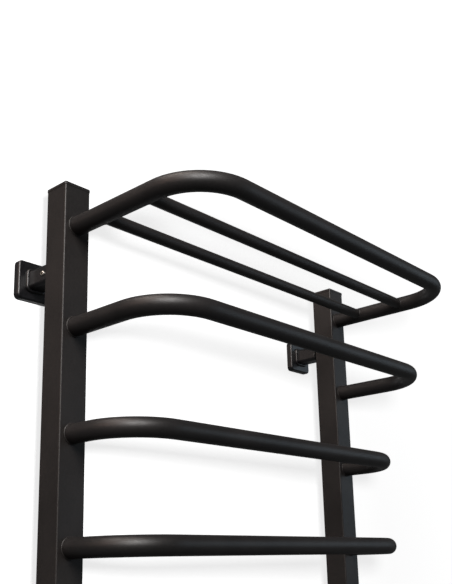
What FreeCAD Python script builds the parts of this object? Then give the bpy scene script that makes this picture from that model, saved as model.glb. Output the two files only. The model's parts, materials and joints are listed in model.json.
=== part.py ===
"""Wall-hung water-heated towel rack: two square posts, eight bent rails and a shelf.

Units are millimetres. The origin is on the wall, midway between the four wall screws.
+X runs along the wall, +Y into the wall and +Z up, so the rack stands out along -Y.
"""
import FreeCAD, Part
import math
import os

# Posts: square tube with a welded plate at each end
HEIGHT = 800.0
POST_CENTRES = 450.0
POST_SIZE = 30.0
POST_WALL = 1.5
POST_CORNER = 1.5
CAP_THICKNESS = 3.5
CAP_LIP = 0.3
CAP_CHAMFER = 0.8
SPIGOT_DEPTH = 4.0
SPIGOT_CLEARANCE = 0.2

# Water inlets: a G1/2 thread in the plate at the foot of each post
INLET_PLATE = 5.0
INLET_LENGTH = 16.0
INLET_THREAD_BORE = 18.63
INLET_BOSS_WALL = 3.0

# Rails: each one a tube bent into a U, with its legs welded to the fronts of the posts
RAIL_COUNT = 8
RAIL_TUBE = 19.0
RAIL_WALL = 1.5
RAIL_BEND = 55.0
FIRST_RAIL_DROP = 44.5
LAST_RAIL_RISE = 34.5
SHELF_REACH = 168.0
SECOND_REACH = 126.0
LOWER_REACH = 80.0
RAIL_WELD = 1.6
WELD_TOE = 0.4

# Shelf rods: two thinner tubes across the legs of the top rail
ROD_TUBE = 12.7
ROD_WALL = 1.2
FRONT_ROD_SETBACK = 70.0
ROD_SPACING = 62.0

# Wall brackets: a peg on the post slides in a sleeve that is screwed to the wall
WALL_GAP = 45.0
BRACKET_DROP = 85.0
PEG = 10.0
PEG_WELD = 1.2
PEG_END_ROOM = 7.0
SLEEVE_SIZE = 20.0
SLEEVE_CORNER = 4.0
SLEEVE_MOUTH_GAP = 5.0
SLEEVE_BASE = 4.0
SLEEVE_FOOT = 32.0
SLEEVE_FOOT_THICKNESS = 3.0
SLEEVE_EDGE = 0.8
WALL_SCREW_HOLE = 5.2
SLIDING_CLEARANCE = 0.05

# Rosettes: hollow square covers that hide the feet of the sleeves
ROSETTE_SIZE = 41.0
ROSETTE_CORNER = 5.0
ROSETTE_THICKNESS = 8.0
ROSETTE_SHELL = 2.0
ROSETTE_EDGE = 2.4
ROSETTE_CLEARANCE = 0.3
COLLAR_WALL = 2.0
COLLAR_HEIGHT = 3.0
COLLAR_EDGE = 1.8

# Clamp screws: a socket screw through the outer side of each sleeve, onto the peg
CLAMP_THREAD = 5.0
CLAMP_FROM_MOUTH = 6.0
CLAMP_PROUD = 1.4
CLAMP_SOCKET = 2.5
CLAMP_SOCKET_DEPTH = 2.2
CLAMP_TIP_GAP = 0.05
CLAMP_EDGE = 0.4

# Air vent: on the back of the left post, near its top
VENT_DROP = 24.0
VENT_BOSS = 16.0
VENT_BOSS_HEIGHT = 5.0
VENT_THREAD = 8.6
VENT_GASKET_THICKNESS = 1.2
VENT_GASKET = 13.0
VENT_HEX = 11.0
VENT_HEX_HEIGHT = 4.0
VENT_SCREW = 5.0
VENT_SCREW_PROUD = 1.0
VENT_SLOT_WIDTH = 1.0
VENT_SLOT_DEPTH = 1.0
VENT_OUTLET = 1.6
VENT_NEEDLE = 1.5
VENT_SEAT_GAP = 0.05

# Places that follow from the sizes above
POST_Y = -(WALL_GAP + POST_SIZE / 2)
POST_FRONT_Y = POST_Y - POST_SIZE / 2
POST_BACK_Y = -WALL_GAP
TOP_Z = HEIGHT / 2
FOOT_Z = -HEIGHT / 2
RAIL_PITCH = (HEIGHT - FIRST_RAIL_DROP - LAST_RAIL_RISE) / (RAIL_COUNT - 1)
RAIL_HEIGHTS = [TOP_Z - FIRST_RAIL_DROP - RAIL_PITCH * n for n in range(RAIL_COUNT)]
RAIL_REACHES = [SHELF_REACH, SECOND_REACH] + [LOWER_REACH] * (RAIL_COUNT - 2)
RAIL_NAMES = ["shelf_rail"] + ["rail_%d" % (n + 1) for n in range(1, RAIL_COUNT)]
SIDES = {"left": -1, "right": 1}
LEVELS = {"upper": TOP_Z - BRACKET_DROP, "lower": FOOT_Z + BRACKET_DROP}
SLEEVE_LENGTH = WALL_GAP - SLEEVE_MOUTH_GAP
CLAMP_HEIGHT = SLEEVE_LENGTH - CLAMP_FROM_MOUTH
VENT_Z = TOP_Z - VENT_DROP

X_AXIS = FreeCAD.Vector(1, 0, 0)
Z_AXIS = FreeCAD.Vector(0, 0, 1)


def rounded_square(size, radius, height, base=0.0):
    """Upright prism, centred on the Z axis, with a rounded-square outline."""
    half = size / 2
    flat = half - radius
    bulge = flat + radius * math.sqrt(0.5)
    edges = []
    for quarter in range(4):
        turn = FreeCAD.Rotation(Z_AXIS, 90 * quarter)
        start, corner, middle, end = [
            turn.multVec(FreeCAD.Vector(x, y, base))
            for x, y in ((half, -flat), (half, flat), (bulge, bulge), (flat, half))
        ]
        edges.append(Part.LineSegment(start, corner).toShape())
        edges.append(Part.Arc(corner, middle, end).toShape())
    return Part.Face(Part.Wire(edges)).extrude(Z_AXIS * height)


def cylinder(radius, length, base=0.0):
    """Upright cylinder on the Z axis."""
    return Part.makeCylinder(radius, length, FreeCAD.Vector(0, 0, base))


def hexagon(across_flats, height, base=0.0):
    """Upright hexagonal prism on the Z axis."""
    corner = across_flats / math.sqrt(3)
    points = [
        FreeCAD.Vector(corner * math.cos(a), corner * math.sin(a), base)
        for a in [math.radians(60 * n) for n in range(7)]
    ]
    return Part.Face(Part.makePolygon(points)).extrude(Z_AXIS * height)


def edges_at_height(shape, height):
    """The edges of a shape that lie flat at one height."""
    found = []
    for edge in shape.Edges:
        box = edge.BoundBox
        if abs(box.ZMin - height) < 1e-4 and abs(box.ZMax - height) < 1e-4:
            found.append(edge)
    return found


def place(shape, x, y, z, turn=None):
    """A copy of a shape, turned about the origin and then moved."""
    placed = shape.copy()
    move = FreeCAD.Placement(FreeCAD.Vector(x, y, z), turn or FreeCAD.Rotation())
    placed.Placement = move.multiply(shape.Placement)
    return placed


# A shape built upright is laid down so that its height runs out of the wall or into it
OUT_FROM_WALL = FreeCAD.Rotation(X_AXIS, 90)
TOWARDS_WALL = FreeCAD.Rotation(X_AXIS, -90)


def weld_bead(tube, leg):
    """Ring of weld around a tube that stands on a flat face."""
    ring = Part.makeCone(tube / 2 + leg, tube / 2 + WELD_TOE, leg)
    return ring.cut(cylinder(tube / 2, leg))


def post(side):
    """Hollow post with a water hole behind each rail leg."""
    length = HEIGHT - CAP_THICKNESS - INLET_PLATE
    inside = POST_SIZE - 2 * POST_WALL
    tube = rounded_square(POST_SIZE, POST_CORNER, length)
    corner = FreeCAD.Vector(-inside / 2, -inside / 2, 0)
    tube = tube.cut(Part.makeBox(inside, inside, length, corner))
    x = side * POST_CENTRES / 2
    tube = place(tube, x, POST_Y, FOOT_Z + INLET_PLATE)
    water_hole = cylinder(RAIL_TUBE / 2 - RAIL_WALL, 2 * POST_WALL)
    for height in RAIL_HEIGHTS:
        tube = tube.cut(place(water_hole, x, POST_FRONT_Y - POST_WALL / 2, height, TOWARDS_WALL))
    if side == SIDES["left"]:
        air_hole = cylinder(VENT_THREAD / 2, 2 * POST_WALL)
        tube = tube.cut(place(air_hole, x, POST_BACK_Y + POST_WALL / 2, VENT_Z, OUT_FROM_WALL))
    return tube


def end_plate(thickness):
    """Square plate a little larger than the post, with its outer edges chamfered."""
    plate = rounded_square(POST_SIZE + 2 * CAP_LIP, POST_CORNER, thickness)
    return plate.makeChamfer(CAP_CHAMFER, edges_at_height(plate, thickness))


def spigot(depth):
    """Square plug that fits inside the post below an end plate."""
    width = POST_SIZE - 2 * (POST_WALL + SPIGOT_CLEARANCE)
    return Part.makeBox(width, width, depth, FreeCAD.Vector(-width / 2, -width / 2, -depth))


def top_cap(side):
    """Closed plate on top of a post."""
    cap = end_plate(CAP_THICKNESS).fuse(spigot(SPIGOT_DEPTH)).removeSplitter()
    return place(cap, side * POST_CENTRES / 2, POST_Y, TOP_Z - CAP_THICKNESS)


def inlet_boss(side):
    """Plate under a post, with a threaded boss that stands up inside it."""
    boss_radius = INLET_THREAD_BORE / 2 + INLET_BOSS_WALL
    boss = end_plate(INLET_PLATE).fuse(spigot(SPIGOT_DEPTH))
    boss = boss.fuse(cylinder(boss_radius, INLET_LENGTH, INLET_PLATE - INLET_LENGTH)).removeSplitter()
    boss = boss.cut(cylinder(INLET_THREAD_BORE / 2, INLET_LENGTH, INLET_PLATE - INLET_LENGTH))
    upside_down = FreeCAD.Rotation(X_AXIS, 180)
    return place(boss, side * POST_CENTRES / 2, POST_Y, FOOT_Z + INLET_PLATE, upside_down)


def rail_path(reach):
    """Centreline of a rail from the left post to the right one, at height zero."""
    half = POST_CENTRES / 2
    front = POST_FRONT_Y - reach
    corner = RAIL_BEND * (1 - math.sqrt(0.5))
    points = [
        FreeCAD.Vector(-half, POST_FRONT_Y, 0),
        FreeCAD.Vector(-half, front + RAIL_BEND, 0),
        FreeCAD.Vector(-half + corner, front + corner, 0),
        FreeCAD.Vector(-half + RAIL_BEND, front, 0),
        FreeCAD.Vector(half - RAIL_BEND, front, 0),
        FreeCAD.Vector(half - corner, front + corner, 0),
        FreeCAD.Vector(half, front + RAIL_BEND, 0),
        FreeCAD.Vector(half, POST_FRONT_Y, 0),
    ]
    edges = [
        Part.LineSegment(points[0], points[1]).toShape(),
        Part.Arc(points[1], points[2], points[3]).toShape(),
        Part.LineSegment(points[3], points[4]).toShape(),
        Part.Arc(points[4], points[5], points[6]).toShape(),
        Part.LineSegment(points[6], points[7]).toShape(),
    ]
    return Part.Wire(edges)


def bent_bar(reach, diameter):
    """Solid round bar along a rail's centreline, at height zero."""
    start = FreeCAD.Vector(-POST_CENTRES / 2, POST_FRONT_Y, 0)
    circle = Part.makeCircle(diameter / 2, start, FreeCAD.Vector(0, -1, 0))
    return rail_path(reach).makePipeShell([Part.Wire(circle)], True, False)


def rail(reach, height):
    """Bent tube of one rail."""
    tube = bent_bar(reach, RAIL_TUBE).cut(bent_bar(reach, RAIL_TUBE - 2 * RAIL_WALL))
    return place(tube, 0, 0, height)


def shelf_rod(y):
    """Straight tube across the shelf, coped to fit the legs of the top rail."""
    length = POST_CENTRES
    rod = cylinder(ROD_TUBE / 2, length).cut(cylinder(ROD_TUBE / 2 - ROD_WALL, length))
    rod = place(rod, -length / 2, y, 0, FreeCAD.Rotation(FreeCAD.Vector(0, 1, 0), 90))
    rod = rod.cut(bent_bar(SHELF_REACH, RAIL_TUBE))
    return place(rod, 0, 0, RAIL_HEIGHTS[0])


def weld_beads(side):
    """The beads around every rail leg and peg of one post, as separate solids."""
    x = side * POST_CENTRES / 2
    front = [place(weld_bead(RAIL_TUBE, RAIL_WELD), x, POST_FRONT_Y, z, OUT_FROM_WALL) for z in RAIL_HEIGHTS]
    back = [place(weld_bead(PEG, PEG_WELD), x, POST_BACK_Y, z, TOWARDS_WALL) for z in LEVELS.values()]
    return Part.makeCompound(front + back)


def wall_peg():
    """Round peg on the back of a post, built upright from the wall's face."""
    return cylinder(PEG / 2, WALL_GAP - SLEEVE_BASE - PEG_END_ROOM, SLEEVE_BASE + PEG_END_ROOM)


def wall_sleeve(side):
    """Square sleeve with a foot, a bore for the peg and a hole for the wall screw."""
    arm = rounded_square(SLEEVE_SIZE, SLEEVE_CORNER, SLEEVE_LENGTH)
    arm = arm.makeFillet(SLEEVE_EDGE, edges_at_height(arm, SLEEVE_LENGTH))
    sleeve = arm.fuse(rounded_square(SLEEVE_FOOT, SLEEVE_CORNER, SLEEVE_FOOT_THICKNESS)).removeSplitter()
    bore = cylinder(PEG / 2 + SLIDING_CLEARANCE, SLEEVE_LENGTH, SLEEVE_BASE)
    screw_hole = cylinder(WALL_SCREW_HOLE / 2, SLEEVE_BASE)
    thread = cylinder(CLAMP_THREAD / 2 + SLIDING_CLEARANCE, SLEEVE_SIZE)
    across = FreeCAD.Rotation(FreeCAD.Vector(0, 1, 0), 90 * side)
    return sleeve.cut([bore, screw_hole, place(thread, 0, 0, CLAMP_HEIGHT, across)])


def rosette():
    """Hollow square cover with a raised collar around the sleeve."""
    cover = rounded_square(ROSETTE_SIZE, ROSETTE_CORNER, ROSETTE_THICKNESS)
    cover = cover.makeFillet(ROSETTE_EDGE, edges_at_height(cover, ROSETTE_THICKNESS))
    opening = SLEEVE_SIZE + 2 * ROSETTE_CLEARANCE
    collar_size = opening + 2 * COLLAR_WALL
    collar_top = ROSETTE_THICKNESS + COLLAR_HEIGHT
    collar = rounded_square(collar_size, SLEEVE_CORNER + COLLAR_WALL, collar_top)
    collar = collar.makeFillet(COLLAR_EDGE, edges_at_height(collar, collar_top))
    cover = cover.fuse(collar).removeSplitter()
    hollow = rounded_square(
        ROSETTE_SIZE - 2 * ROSETTE_SHELL,
        ROSETTE_CORNER - ROSETTE_SHELL,
        ROSETTE_THICKNESS - ROSETTE_SHELL,
    )
    return cover.cut([hollow, rounded_square(opening, SLEEVE_CORNER + ROSETTE_CLEARANCE, collar_top)])


def clamp_screw(side):
    """Socket screw that bears on the peg, lying across the sleeve."""
    tip = PEG / 2 + CLAMP_TIP_GAP
    length = SLEEVE_SIZE / 2 + CLAMP_PROUD - tip
    screw = cylinder(CLAMP_THREAD / 2, length)
    screw = screw.makeChamfer(CLAMP_EDGE, edges_at_height(screw, length))
    screw = screw.cut(hexagon(CLAMP_SOCKET, CLAMP_SOCKET_DEPTH, length - CLAMP_SOCKET_DEPTH))
    across = FreeCAD.Rotation(FreeCAD.Vector(0, 1, 0), 90 * side)
    return place(screw, side * tip, 0, CLAMP_HEIGHT, across)


def vent_boss():
    """Threaded bush welded over the air hole."""
    return cylinder(VENT_BOSS / 2, VENT_BOSS_HEIGHT).cut(cylinder(VENT_THREAD / 2, VENT_BOSS_HEIGHT))


def vent_gasket():
    """Flat ring between the bush and the vent body."""
    ring = cylinder(VENT_GASKET / 2, VENT_GASKET_THICKNESS, VENT_BOSS_HEIGHT)
    return ring.cut(cylinder(VENT_THREAD / 2, VENT_GASKET_THICKNESS, VENT_BOSS_HEIGHT))


def vent_body():
    """Hexagonal plug with a bore for the vent screw, a seat and a side outlet."""
    head_base = VENT_BOSS_HEIGHT + VENT_GASKET_THICKNESS
    shank = cylinder(VENT_THREAD / 2 - SLIDING_CLEARANCE, head_base)
    body = hexagon(VENT_HEX, VENT_HEX_HEIGHT, head_base).fuse(shank).removeSplitter()
    bore = cylinder(VENT_SCREW / 2 + SLIDING_CLEARANCE, head_base + VENT_HEX_HEIGHT, VENT_NEEDLE)
    seat = cylinder(VENT_NEEDLE / 2, VENT_NEEDLE)
    outlet = Part.makeCylinder(
        VENT_OUTLET / 2,
        VENT_HEX,
        FreeCAD.Vector(0, 0, head_base + VENT_HEX_HEIGHT / 2),
        FreeCAD.Vector(0, -1, 0),
    )
    return body.cut([bore, seat, outlet])


def vent_screw():
    """Slotted screw that closes the vent, drawn just off its seat so that it turns freely."""
    top = VENT_BOSS_HEIGHT + VENT_GASKET_THICKNESS + VENT_HEX_HEIGHT + VENT_SCREW_PROUD
    tip = VENT_NEEDLE + VENT_SEAT_GAP
    shank = cylinder(VENT_SCREW / 2, top - tip - VENT_NEEDLE, tip + VENT_NEEDLE)
    needle = Part.makeCone(VENT_NEEDLE / 2, VENT_SCREW / 2, VENT_NEEDLE, FreeCAD.Vector(0, 0, tip))
    screw = shank.fuse(needle)
    slot = Part.makeBox(
        VENT_SCREW,
        VENT_SLOT_WIDTH,
        VENT_SLOT_DEPTH,
        FreeCAD.Vector(-VENT_SCREW / 2, -VENT_SLOT_WIDTH / 2, top - VENT_SLOT_DEPTH),
    )
    return screw.cut(slot).removeSplitter()


def build():
    """Every piece of the rack by name."""
    nodes = {}
    for name, reach, height in zip(RAIL_NAMES, RAIL_REACHES, RAIL_HEIGHTS):
        nodes[name] = rail(reach, height)
    front_rod_y = POST_FRONT_Y - SHELF_REACH + FRONT_ROD_SETBACK
    nodes["shelf_rod_front"] = shelf_rod(front_rod_y)
    nodes["shelf_rod_rear"] = shelf_rod(front_rod_y + ROD_SPACING)
    for side_name, side in SIDES.items():
        nodes["post_" + side_name] = post(side)
        nodes["top_cap_" + side_name] = top_cap(side)
        nodes["inlet_boss_" + side_name] = inlet_boss(side)
        nodes["weld_beads_" + side_name] = weld_beads(side)
        x = side * POST_CENTRES / 2
        for level_name, z in LEVELS.items():
            where = level_name + "_" + side_name
            nodes["wall_peg_" + where] = place(wall_peg(), x, 0, z, OUT_FROM_WALL)
            nodes["wall_sleeve_" + where] = place(wall_sleeve(side), x, 0, z, OUT_FROM_WALL)
            nodes["rosette_" + where] = place(rosette(), x, 0, z, OUT_FROM_WALL)
            nodes["clamp_screw_" + where] = place(clamp_screw(side), x, 0, z, OUT_FROM_WALL)
    for name, piece in (
        ("vent_boss", vent_boss()),
        ("vent_gasket", vent_gasket()),
        ("vent_body", vent_body()),
        ("vent_screw", vent_screw()),
    ):
        nodes[name] = place(piece, SIDES["left"] * POST_CENTRES / 2, POST_BACK_Y, VENT_Z, TOWARDS_WALL)
    return nodes


os.makedirs("parts", exist_ok=True)
for node_name, shape in build().items():
    solids = shape.Solids
    whole = solids[0] if len(solids) == 1 else Part.makeCompound(solids)
    whole.exportStep("parts/" + node_name + ".step")
    print(node_name, len(solids), "solids", round(whole.Volume, 1), "mm3", whole.isValid())
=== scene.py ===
"""Looks of a wall-hung towel warmer rack: powder-coated posts and rails, weld beads,
enamelled wall brackets, bright screws and threaded water inlets. Units are metres.
"""
import json
import math

import bpy
from mathutils import Matrix, Quaternion, Vector


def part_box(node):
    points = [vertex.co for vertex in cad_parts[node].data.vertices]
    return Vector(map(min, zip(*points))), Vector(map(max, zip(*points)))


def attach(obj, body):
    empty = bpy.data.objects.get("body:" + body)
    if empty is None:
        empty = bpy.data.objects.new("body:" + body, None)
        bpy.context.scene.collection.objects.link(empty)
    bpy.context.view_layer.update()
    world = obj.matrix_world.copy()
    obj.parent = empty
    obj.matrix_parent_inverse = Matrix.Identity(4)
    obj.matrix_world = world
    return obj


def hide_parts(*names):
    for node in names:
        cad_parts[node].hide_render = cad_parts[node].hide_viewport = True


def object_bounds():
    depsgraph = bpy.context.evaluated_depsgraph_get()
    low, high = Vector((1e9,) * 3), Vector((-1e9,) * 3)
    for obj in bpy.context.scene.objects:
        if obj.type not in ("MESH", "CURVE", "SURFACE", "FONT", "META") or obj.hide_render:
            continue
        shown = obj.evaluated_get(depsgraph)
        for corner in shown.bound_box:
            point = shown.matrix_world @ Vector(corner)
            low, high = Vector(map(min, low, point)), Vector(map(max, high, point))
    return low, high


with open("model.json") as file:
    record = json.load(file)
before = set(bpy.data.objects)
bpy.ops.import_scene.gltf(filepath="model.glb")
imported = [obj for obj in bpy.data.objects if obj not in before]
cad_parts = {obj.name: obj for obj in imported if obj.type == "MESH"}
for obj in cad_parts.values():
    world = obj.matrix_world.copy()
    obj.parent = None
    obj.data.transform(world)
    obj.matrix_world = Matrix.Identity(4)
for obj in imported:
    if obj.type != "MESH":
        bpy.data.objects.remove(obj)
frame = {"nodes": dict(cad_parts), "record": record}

MM = 0.001
RACK = "rack"
SIDES = {"left": -1, "right": 1}
LEVELS = ("upper", "lower")
RAILS = ["shelf_rail"] + ["rail_%d" % n for n in range(2, 9)]

# Camera: place from the top of the left post, and where it looks
CAMERA_FROM_POST_TOP = Vector((-0.4465, -0.6051, -0.3712))
CAMERA_YAW = math.radians(48.23)
CAMERA_PITCH = math.radians(13.50)
CAMERA_ROLL = math.radians(-1.39)
CAMERA_SENSOR = 36.0
CAMERA_LENS = 49.07
CAMERA_SHIFT = 0.14

# Stage: the wall stands just behind the rack, and has a painted glow (emission) that is weaker
# near the rack than far from it
STAGE_WIDTH = 6.0
WALL_CLEARANCE = 0.5 * MM
FLOOR_DROP = 0.6
FLOOR_GLOW = 0.75
PAINTED_GLOW_NEAR = 0.45
PAINTED_GLOW_FAR = 1.1
PAINTED_GLOW_DIM = 0.74
PAINTED_GLOW_FULL = 1.0

# Room: how strongly it lights the rack, and how bright it looks
ROOM_LIGHT = 0.10
ROOM_SEEN = 0.95

# Softboxes: place, size, power in watts and colour. All are turned towards the shelf.
AIM_DROP = 0.15
RACK_LIGHTS = {
    "softbox_left_front": ((-1.3, -1.36, 1.33), (0.7, 1.25), 54, "#fffcfa"),
    "softbox_above": ((-0.9, -0.1, 1.9), (0.9, 0.9), 15, "#fff0e6"),
    "softbox_left_wall": ((-1.65, -0.2, 1.0), (0.9, 0.9), 5, "#ffd4bf"),
    "softbox_right_low": ((1.8, -1.5, 0.5), (1.2, 1.2), 4.5, "#ddf0ff"),
    "softbox_behind": ((0.5, 1.9, 0.4), (1.6, 1.2), 8, "#ffffff"),
    "softbox_left_behind": ((-1.6, 1.2, 0.9), (0.5, 0.5), 0.7, "#ffe8dc"),
}
STAGE_LIGHTS = {
    "wall_wash": ((-0.62, -0.76, 0.12), (0.1, 0.1), 5.0, "#ffffff"),
}

# Weld beads: ripples along a bead, their depth, and the legs of the beads
BEAD_TURNS = 34
BEAD_RIPPLE = 0.09 * MM
RAIL_BEAD_LEG = 1.3 * MM
PEG_BEAD_LEG = 1.2 * MM
ROD_BEAD_LEG = 0.9 * MM
BEAD_SECTION = 8
FLAT_BEAD_STEPS = 6 * BEAD_TURNS
SADDLE_BEAD_STEPS = 4 * BEAD_TURNS

# Outline of a bead, as shares of its leg: how deep its root lies in the tube and in the
# face, how far its ends reach, and how much fuller it is between them
FLAT_ROOT = (-0.25, -0.05)
FLAT_REACH = 0.80
FLAT_PUFF = 0.12
SADDLE_ROOT = 0.3
SADDLE_REACH = 0.85
SADDLE_RIPPLE = 0.15

# Inlets: a plate with a round boss above it and a G1/2 thread through both
INLET_PLATE = 5 * MM
INLET_CHAMFER = 0.8 * MM
INLET_BOSS_RADIUS = 12.3 * MM
INLET_MOUTH = 1.2 * MM
PLATE_SQUARENESS = 16
THREAD_PITCH = 1.814 * MM
THREAD_DEPTH = 1.0 * MM
THREAD_BORE_RADIUS = 9.315 * MM
THREAD_CUTS = 8
TURN_STEPS = 72

cad_low, cad_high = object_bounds()


def linear(hex_colour):
    """Linear RGBA of an sRGB hex colour."""
    channels = [int(hex_colour[i:i + 2], 16) / 255 for i in (1, 3, 5)]
    return [c / 12.92 if c <= 0.04045 else ((c + 0.055) / 1.055) ** 2.4 for c in channels] + [1.0]


def add_node(tree, kind, settings=None, links=None):
    """Adds a node. Settings go by socket name or number, or by property name; links by socket."""
    node = tree.nodes.new(kind)
    for name, value in (settings or {}).items():
        if isinstance(name, int) or name in node.inputs:
            node.inputs[name].default_value = value
        else:
            setattr(node, name, value)
    for name, source in (links or {}).items():
        tree.links.new(source, node.inputs[name])
    return node


def new_material(name, shader_settings):
    """A material with one Principled shader, and the tree and object coordinates to build on."""
    material = bpy.data.materials.new(name)
    material.use_nodes = True
    tree = material.node_tree
    tree.nodes.clear()
    shader = add_node(tree, "ShaderNodeBsdfPrincipled", shader_settings)
    add_node(tree, "ShaderNodeOutputMaterial", links={"Surface": shader.outputs["BSDF"]})
    coordinates = add_node(tree, "ShaderNodeTexCoord")
    return material, tree, shader, coordinates.outputs["Object"]


def noise(tree, place, feature, detail, rough=0.5):
    """Noise whose features are about as large as the given size, in metres."""
    settings = {"Scale": 1 / feature, "Detail": detail, "Roughness": rough}
    return add_node(tree, "ShaderNodeTexNoise", settings, {"Vector": place}).outputs["Fac"]


def spread(tree, value, low, high, to_low, to_high):
    """A value's range stretched to another one and held inside it."""
    settings = {"From Min": low, "From Max": high, "To Min": to_low, "To Max": to_high}
    return add_node(tree, "ShaderNodeMapRange", settings, {"Value": value}).outputs["Result"]


def ramp(tree, value, stops):
    """Colours along a value, from (position, sRGB hex) stops."""
    node = add_node(tree, "ShaderNodeValToRGB", links={"Fac": value})
    elements = node.color_ramp.elements
    while len(elements) < len(stops):
        elements.new(0.5)
    for element, (position, colour) in zip(elements, stops):
        element.position = position
        element.color = linear(colour)
    return node.outputs["Color"]


def bump(tree, height, depth, strength, under=None):
    """Surface normals of a height pattern, laid over those of a coarser one."""
    links = {"Height": height}
    if under is not None:
        links["Normal"] = under
    settings = {"Strength": strength, "Distance": depth}
    return add_node(tree, "ShaderNodeBump", settings, links).outputs["Normal"]


def powder_coat(name, dark, light, grain, grain_depth, rough):
    """Polyester powder coat, sprayed dry and baked: near black and matte, with a fine grain
    over a slow orange peel. The real grain is 0.2 mm. It is drawn coarser, so that it shows."""
    material, tree, shader, place = new_material(
        name, {"IOR": 1.5, "Metallic": 0.0, "Coat Weight": 0.0}
    )
    grit = noise(tree, place, grain, 4.0, 0.72)
    peel = noise(tree, place, 6 * MM, 2.0)
    clouds = noise(tree, place, 70 * MM, 3.0)
    tone = add_node(tree, "ShaderNodeMath", {"operation": "MULTIPLY_ADD", 1: 0.55})
    tree.links.new(grit, tone.inputs[0])
    tree.links.new(spread(tree, clouds, 0.35, 0.65, 0.1, 0.4), tone.inputs[2])
    colour = ramp(tree, tone.outputs[0], [(0.25, dark), (0.85, light)])
    tree.links.new(colour, shader.inputs["Base Color"])
    low, high = rough
    tree.links.new(spread(tree, grit, 0.3, 0.7, low, high), shader.inputs["Roughness"])
    slow = bump(tree, peel, 0.05 * MM, 0.6)
    tree.links.new(bump(tree, grit, grain_depth, 0.6, slow), shader.inputs["Normal"])
    return material


def cast_enamel():
    """Black enamel on zinc castings: satin gloss that flows out smoothly over the edges."""
    material, tree, shader, place = new_material(
        "black_enamel_on_zinc", {"IOR": 1.5, "Coat Weight": 0.15}
    )
    peel = noise(tree, place, 3 * MM, 2.0)
    dust = noise(tree, place, 0.8 * MM, 2.0)
    colour = ramp(tree, peel, [(0.3, "#0c0c0e"), (0.75, "#1a191b")])
    tree.links.new(colour, shader.inputs["Base Color"])
    tree.links.new(spread(tree, dust, 0.3, 0.7, 0.30, 0.42), shader.inputs["Roughness"])
    tree.links.new(bump(tree, peel, 0.06 * MM, 0.5), shader.inputs["Normal"])
    return material


def turned_metal(name, dark, light, rough):
    """Metal cut on a lathe: bright, with fine tool marks and a slight stain."""
    material, tree, shader, place = new_material(name, {"Metallic": 1.0})
    stain = noise(tree, place, 2.5 * MM, 3.0)
    marks = noise(tree, place, 0.25 * MM, 2.0)
    colour = ramp(tree, stain, [(0.3, dark), (0.7, light)])
    tree.links.new(colour, shader.inputs["Base Color"])
    low, high = rough
    tree.links.new(spread(tree, marks, 0.3, 0.7, low, high), shader.inputs["Roughness"])
    tree.links.new(bump(tree, marks, 0.02 * MM, 0.4), shader.inputs["Normal"])
    return material


def moulded_rubber():
    """Nitrile rubber, moulded: dull black with a faint bloom."""
    material, tree, shader, place = new_material("moulded_nitrile_rubber", {"IOR": 1.52})
    bloom = noise(tree, place, 1.5 * MM, 3.0)
    colour = ramp(tree, bloom, [(0.3, "#141414"), (0.8, "#2a2a2a")])
    tree.links.new(colour, shader.inputs["Base Color"])
    tree.links.new(spread(tree, bloom, 0.3, 0.7, 0.7, 0.85), shader.inputs["Roughness"])
    tree.links.new(bump(tree, bloom, 0.03 * MM, 0.5), shader.inputs["Normal"])
    return material


def paint_cad_nodes(materials):
    """Gives every CAD node the material of its slot in the record."""
    for part in frame["record"]["subparts"]:
        mesh = frame["nodes"][part["node"]].data
        mesh.materials.clear()
        mesh.materials.append(materials[part["material_slot"]])


def mesh_object(name, points, faces, materials, slot):
    """A smooth-shaded piece of the rack, made from points and faces."""
    mesh = bpy.data.meshes.new(name)
    mesh.from_pydata([tuple(p) for p in points], [], faces)
    mesh.materials.append(materials[slot])
    for polygon in mesh.polygons:
        polygon.use_smooth = True
    piece = bpy.data.objects.new(name, mesh)
    bpy.context.scene.collection.objects.link(piece)
    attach(piece, RACK)
    return piece


def add_ring(points, faces, rows):
    """Joins closed rows of points into a ring of faces that closes on itself."""
    first = len(points)
    width = len(rows[0])
    for row in rows:
        points.extend(row)
    for i in range(len(rows)):
        for j in range(width):
            a = first + i * width + j
            b = first + i * width + (j + 1) % width
            c = first + (i + 1) % len(rows) * width + (j + 1) % width
            d = first + (i + 1) % len(rows) * width + j
            faces.append((a, b, c, d))


def bead_section(turn, leg):
    """Outline of a weld bead, (outwards, upwards), swelling and sinking along the weld."""
    swell = 0.5 + 0.5 * math.cos(turn * BEAD_TURNS)
    reach = leg - BEAD_RIPPLE * (1 - swell)
    outline = [(FLAT_ROOT[0] * leg, FLAT_ROOT[1] * leg)]
    for step in range(BEAD_SECTION + 1):
        angle = math.pi / 2 * step / BEAD_SECTION
        puff = FLAT_REACH + FLAT_PUFF * math.sin(2 * angle)
        outline.append((reach * puff * math.cos(angle), reach * puff * math.sin(angle)))
    return outline


def flat_bead(points, faces, centre, out, radius, leg):
    """Weld bead around a tube that stands on a flat face, out from it."""
    side = Vector((1, 0, 0))
    up = out.cross(side)
    rows = []
    for i in range(FLAT_BEAD_STEPS):
        turn = 2 * math.pi * i / FLAT_BEAD_STEPS
        away = side * math.cos(turn) + up * math.sin(turn)
        rows.append([centre + away * (radius + x) + out * y for x, y in bead_section(turn, leg)])
    add_ring(points, faces, rows)


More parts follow.
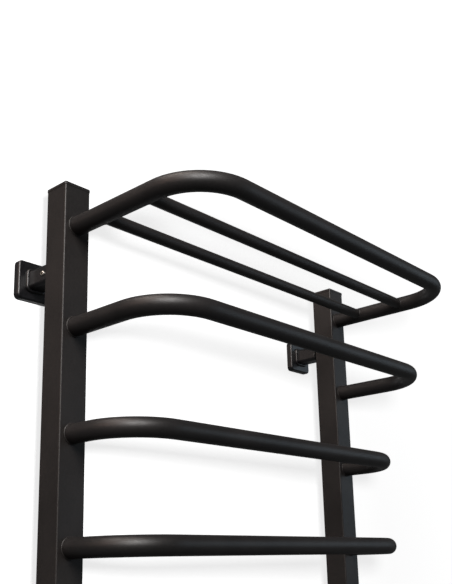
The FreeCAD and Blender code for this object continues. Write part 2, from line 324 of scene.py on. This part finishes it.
def rail_and_peg_beads(materials):
    """The beads around the rail legs and the pegs of each post."""
    for side_name in SIDES:
        post_low, post_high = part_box("post_" + side_name)
        middle = (post_low + post_high) / 2
        points, faces = [], []
        for rail in RAILS:
            low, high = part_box(rail)
            centre = Vector((middle.x, post_low.y, (low.z + high.z) / 2))
            radius = (high.z - low.z) / 2
            flat_bead(points, faces, centre, Vector((0, -1, 0)), radius, RAIL_BEAD_LEG)
        for level in LEVELS:
            low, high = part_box("wall_peg_%s_%s" % (level, side_name))
            centre = Vector((middle.x, post_high.y, (low.z + high.z) / 2))
            radius = (high.z - low.z) / 2
            flat_bead(points, faces, centre, Vector((0, 1, 0)), radius, PEG_BEAD_LEG)
        name = "weld_beads_" + side_name
        piece = mesh_object(name + "_rippled", points, faces, materials, "post_powder_coat")
        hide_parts(name)


def saddle_bead(points, faces, centre, inward, rod_radius, leg_radius, leg):
    """Weld bead where a round rod meets the side of a round rail leg."""
    rows = []
    for i in range(SADDLE_BEAD_STEPS):
        turn = 2 * math.pi * i / SADDLE_BEAD_STEPS
        across = Vector((0, math.cos(turn), math.sin(turn)))
        swell = leg * (1 - SADDLE_RIPPLE + SADDLE_RIPPLE * math.cos(turn * BEAD_TURNS))
        height = rod_radius * math.sin(turn)
        depth = math.sqrt(leg_radius ** 2 - height ** 2)
        root = centre + across * rod_radius + inward * depth
        leg_out = Vector((inward.x * depth, 0, height)) / leg_radius
        row = [root - (leg_out + across) * leg * SADDLE_ROOT]
        for step in range(BEAD_SECTION + 1):
            angle = math.pi / 2 * step / BEAD_SECTION
            towards = across * math.cos(angle) + inward * math.sin(angle)
            row.append(root + towards * swell * SADDLE_REACH)
        rows.append(row)
    add_ring(points, faces, rows)


def shelf_rod_beads(materials):
    """The beads at both ends of the two shelf rods."""
    rail_low, rail_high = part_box("shelf_rail")
    leg_radius = (rail_high.z - rail_low.z) / 2
    points, faces = [], []
    for rod in ("shelf_rod_front", "shelf_rod_rear"):
        low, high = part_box(rod)
        centre = (low + high) / 2
        radius = (high.z - low.z) / 2
        for side in SIDES.values():
            edge = rail_high.x if side > 0 else rail_low.x
            end = Vector((edge - side * leg_radius, centre.y, centre.z))
            inward = Vector((-side, 0, 0))
            saddle_bead(points, faces, end, inward, radius, leg_radius, ROD_BEAD_LEG)
    mesh_object("shelf_rod_weld_beads", points, faces, materials, "rail_powder_coat")


def threaded_inlets(materials):
    """The end plates of the posts with a real G1/2 thread in place of a plain hole."""
    for side_name in SIDES:
        name = "inlet_boss_" + side_name
        low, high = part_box(name)
        half = (high.x - low.x) / 2
        centre = Vector(((low.x + high.x) / 2, (low.y + high.y) / 2, low.z))
        points, faces = [], []
        rows = []
        for i in range(TURN_STEPS):
            turn = 2 * math.pi * (i + 0.5) / TURN_STEPS
            rows.append(inlet_outline(turn, centre, half, high.z - low.z))
        add_ring(points, faces, rows)
        piece = mesh_object(name + "_threaded", points, faces, materials, "post_powder_coat")
        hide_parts(name)


def inlet_outline(turn, centre, half, length):
    """Section of an inlet in the direction of a turn: the square plate, chamfered below,
    the round boss above it, and the helical thread back down to the mouth."""
    away = Vector((math.cos(turn), math.sin(turn), 0))
    up = Vector((0, 0, 1))
    power = PLATE_SQUARENESS
    square = away / (abs(away.x) ** power + abs(away.y) ** power) ** (1 / power)
    row = [
        centre + square * (half - INLET_CHAMFER),
        centre + square * (half - 0.3 * INLET_CHAMFER) + up * 0.3 * INLET_CHAMFER,
        centre + square * half + up * INLET_CHAMFER,
        centre + square * half + up * INLET_PLATE,
        centre + away * INLET_BOSS_RADIUS + up * INLET_PLATE,
        centre + away * INLET_BOSS_RADIUS + up * length,
    ]
    threaded = length - INLET_CHAMFER
    steps = int(threaded / THREAD_PITCH * THREAD_CUTS)
    for step in range(steps + 1):
        z = length - threaded * step / steps
        phase = (z / THREAD_PITCH - turn / (2 * math.pi)) % 1.0
        groove = 1 - abs(2 * phase - 1)
        fade = min(1.0, (length - z) / THREAD_PITCH)
        row.append(centre + away * (THREAD_BORE_RADIUS + THREAD_DEPTH * groove * fade) + up * z)
    row.append(centre + away * (THREAD_BORE_RADIUS + INLET_MOUTH))
    return row


def build_stage():
    """Pale wall and floor, which don't show in the rack's reflections."""
    back = cad_high.y + WALL_CLEARANCE
    floor = cad_low.z - FLOOR_DROP
    wide = STAGE_WIDTH / 2
    ends = (-wide, wide, wide, -wide)
    heights = (floor, floor, wide, wide)
    wall_corners = [(x, back, z) for x, z in zip(ends, heights)]
    depths = (-wide, -wide, wide, wide)
    floor_corners = [(x, y, floor) for x, y in zip(ends, depths)]
    stage = []
    for name, corners, paint in (
        ("wall", wall_corners, wall_paint()),
        ("floor", floor_corners, floor_screed()),
    ):
        mesh = bpy.data.meshes.new(name)
        mesh.from_pydata(corners, [], [(0, 1, 2, 3)])
        mesh.materials.append(paint)
        backdrop = bpy.data.objects.new("stage_" + name, mesh)
        bpy.context.scene.collection.objects.link(backdrop)
        backdrop.visible_glossy = False
        backdrop.visible_diffuse = False
        backdrop.visible_shadow = False
        stage.append(backdrop)
    return stage


def wall_paint():
    """White emulsion on plaster, matte, with a painted glow (emission) that is dimmer near the
    rack and full away from it.
    From behind it is clear, so that the rack's back can be seen."""
    material, tree, shader, place = new_material(
        "white_wall_paint", {"Roughness": 0.9, "Emission Color": linear("#ffffff")}
    )
    # Painted glow: the emission strength rises with distance from the rack, from dim to full, so
    # the wall looks white where no lamp reaches
    away = add_node(tree, "ShaderNodeVectorMath", {"operation": "LENGTH"}, {0: place})
    painted_glow_strength = spread(tree, away.outputs["Value"], PAINTED_GLOW_NEAR, PAINTED_GLOW_FAR, PAINTED_GLOW_DIM, PAINTED_GLOW_FULL)
    tree.links.new(painted_glow_strength, shader.inputs["Emission Strength"])
    rolled = noise(tree, place, 2 * MM, 2.0)
    colour = ramp(tree, rolled, [(0.3, "#f4f4f4"), (0.7, "#fafafa")])
    tree.links.new(colour, shader.inputs["Base Color"])
    tree.links.new(bump(tree, rolled, 0.05 * MM, 0.3), shader.inputs["Normal"])
    clear = add_node(tree, "ShaderNodeBsdfTransparent")
    side = add_node(tree, "ShaderNodeNewGeometry")
    mix = add_node(tree, "ShaderNodeMixShader", links={"Fac": side.outputs["Backfacing"]})
    tree.links.new(shader.outputs["BSDF"], mix.inputs[1])
    tree.links.new(clear.outputs["BSDF"], mix.inputs[2])
    tree.links.new(mix.outputs["Shader"], tree.nodes["Material Output"].inputs["Surface"])
    return material


def floor_screed():
    """Trowelled cement screed, pale and matte, with slow clouds of tone."""
    material, tree, shader, place = new_material(
        "pale_floor_screed",
        {"Roughness": 0.8, "Emission Color": linear("#f4f3f1"), "Emission Strength": FLOOR_GLOW},
    )
    clouds = noise(tree, place, 300 * MM, 4.0)
    colour = ramp(tree, clouds, [(0.3, "#e9e8e6"), (0.7, "#f0efed")])
    tree.links.new(colour, shader.inputs["Base Color"])
    return material


def add_softbox(name, place, size, power, colour, stage, lights_stage):
    """A softbox turned towards the shelf. It lights either the stage or the rack."""
    light = bpy.data.lights.new(name, "AREA")
    light.shape = "RECTANGLE"
    light.size, light.size_y = size
    light.energy = power
    light.color = linear(colour)[:3]
    lamp = bpy.data.objects.new(name, light)
    lamp.location = place
    lamp.rotation_mode = "QUATERNION"
    aim = Vector((0, 0, cad_high.z - AIM_DROP))
    lamp.rotation_quaternion = (aim - Vector(place)).to_track_quat("-Z", "Y")
    lamp.visible_camera = False
    bpy.context.scene.collection.objects.link(lamp)
    lit = bpy.data.collections.new(name + "_lights")
    for backdrop in stage:
        lit.objects.link(backdrop)
    for member in lit.collection_objects:
        member.light_linking.link_state = "INCLUDE" if lights_stage else "EXCLUDE"
    lamp.light_linking.receiver_collection = lit


def light_scene(stage):
    """Softboxes around the rack, strongest from the left, in a dim room that looks pale."""
    for name, settings in RACK_LIGHTS.items():
        add_softbox(name, *settings, stage, False)
    for name, settings in STAGE_LIGHTS.items():
        add_softbox(name, *settings, stage, True)
    world = bpy.data.worlds.new("pale_room")
    world.use_nodes = True
    tree = world.node_tree
    background = tree.nodes["Background"]
    background.inputs["Color"].default_value = linear("#f4f5f6")
    rays = add_node(tree, "ShaderNodeLightPath")
    seen = spread(tree, rays.outputs["Is Camera Ray"], 0.0, 1.0, ROOM_LIGHT, ROOM_SEEN)
    tree.links.new(seen, background.inputs["Strength"])
    bpy.context.scene.world = world
    bpy.context.scene.view_settings.view_transform = "Standard"


def add_camera():
    """Camera low on the left, looking up along the wall."""
    post_low, post_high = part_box("post_left")
    post_top = (post_low + post_high) / 2
    post_top.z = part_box("top_cap_left")[1].z
    flat = Vector((math.sin(CAMERA_YAW), math.cos(CAMERA_YAW), 0))
    forward = flat * math.cos(CAMERA_PITCH) + Vector((0, 0, math.sin(CAMERA_PITCH)))
    level = Vector((flat.y, -flat.x, 0))
    right = Quaternion(forward, -CAMERA_ROLL) @ level
    up = right.cross(forward)
    data = bpy.data.cameras.new("camera")
    data.sensor_width = CAMERA_SENSOR
    data.lens = CAMERA_LENS
    data.shift_y = CAMERA_SHIFT
    camera = bpy.data.objects.new("camera", data)
    turned = Matrix((right, up, -forward)).transposed().to_4x4()
    camera.matrix_world = Matrix.Translation(post_top + CAMERA_FROM_POST_TOP) @ turned
    bpy.context.scene.collection.objects.link(camera)
    bpy.context.scene.camera = camera


def build_materials():
    """One material for each slot of the record."""
    square_tube = "matte_powder_coat_on_square_tube"
    round_tube = "matte_powder_coat_on_round_tube"
    return {
        "post_powder_coat": powder_coat(
            square_tube, "#151312", "#282423", 1.4 * MM, 0.16 * MM, (0.40, 0.56)
        ),
        "rail_powder_coat": powder_coat(
            round_tube, "#100f0f", "#242121", 1.3 * MM, 0.20 * MM, (0.38, 0.55)
        ),
        "bracket_enamel": cast_enamel(),
        "clamp_screw_steel": turned_metal("zinc_plated_steel", "#b9b5ad", "#dcd9d2", (0.22, 0.38)),
        "vent_brass": turned_metal("turned_brass", "#a5854a", "#c9ab6b", (0.25, 0.4)),
        "vent_screw_steel": turned_metal(
            "turned_stainless_steel", "#a8a7a4", "#c9c8c5", (0.22, 0.36)
        ),
        "gasket_rubber": moulded_rubber(),
    }


materials = build_materials()
add_camera()
paint_cad_nodes(materials)
rail_and_peg_beads(materials)
shelf_rod_beads(materials)
threaded_inlets(materials)
light_scene(build_stage())
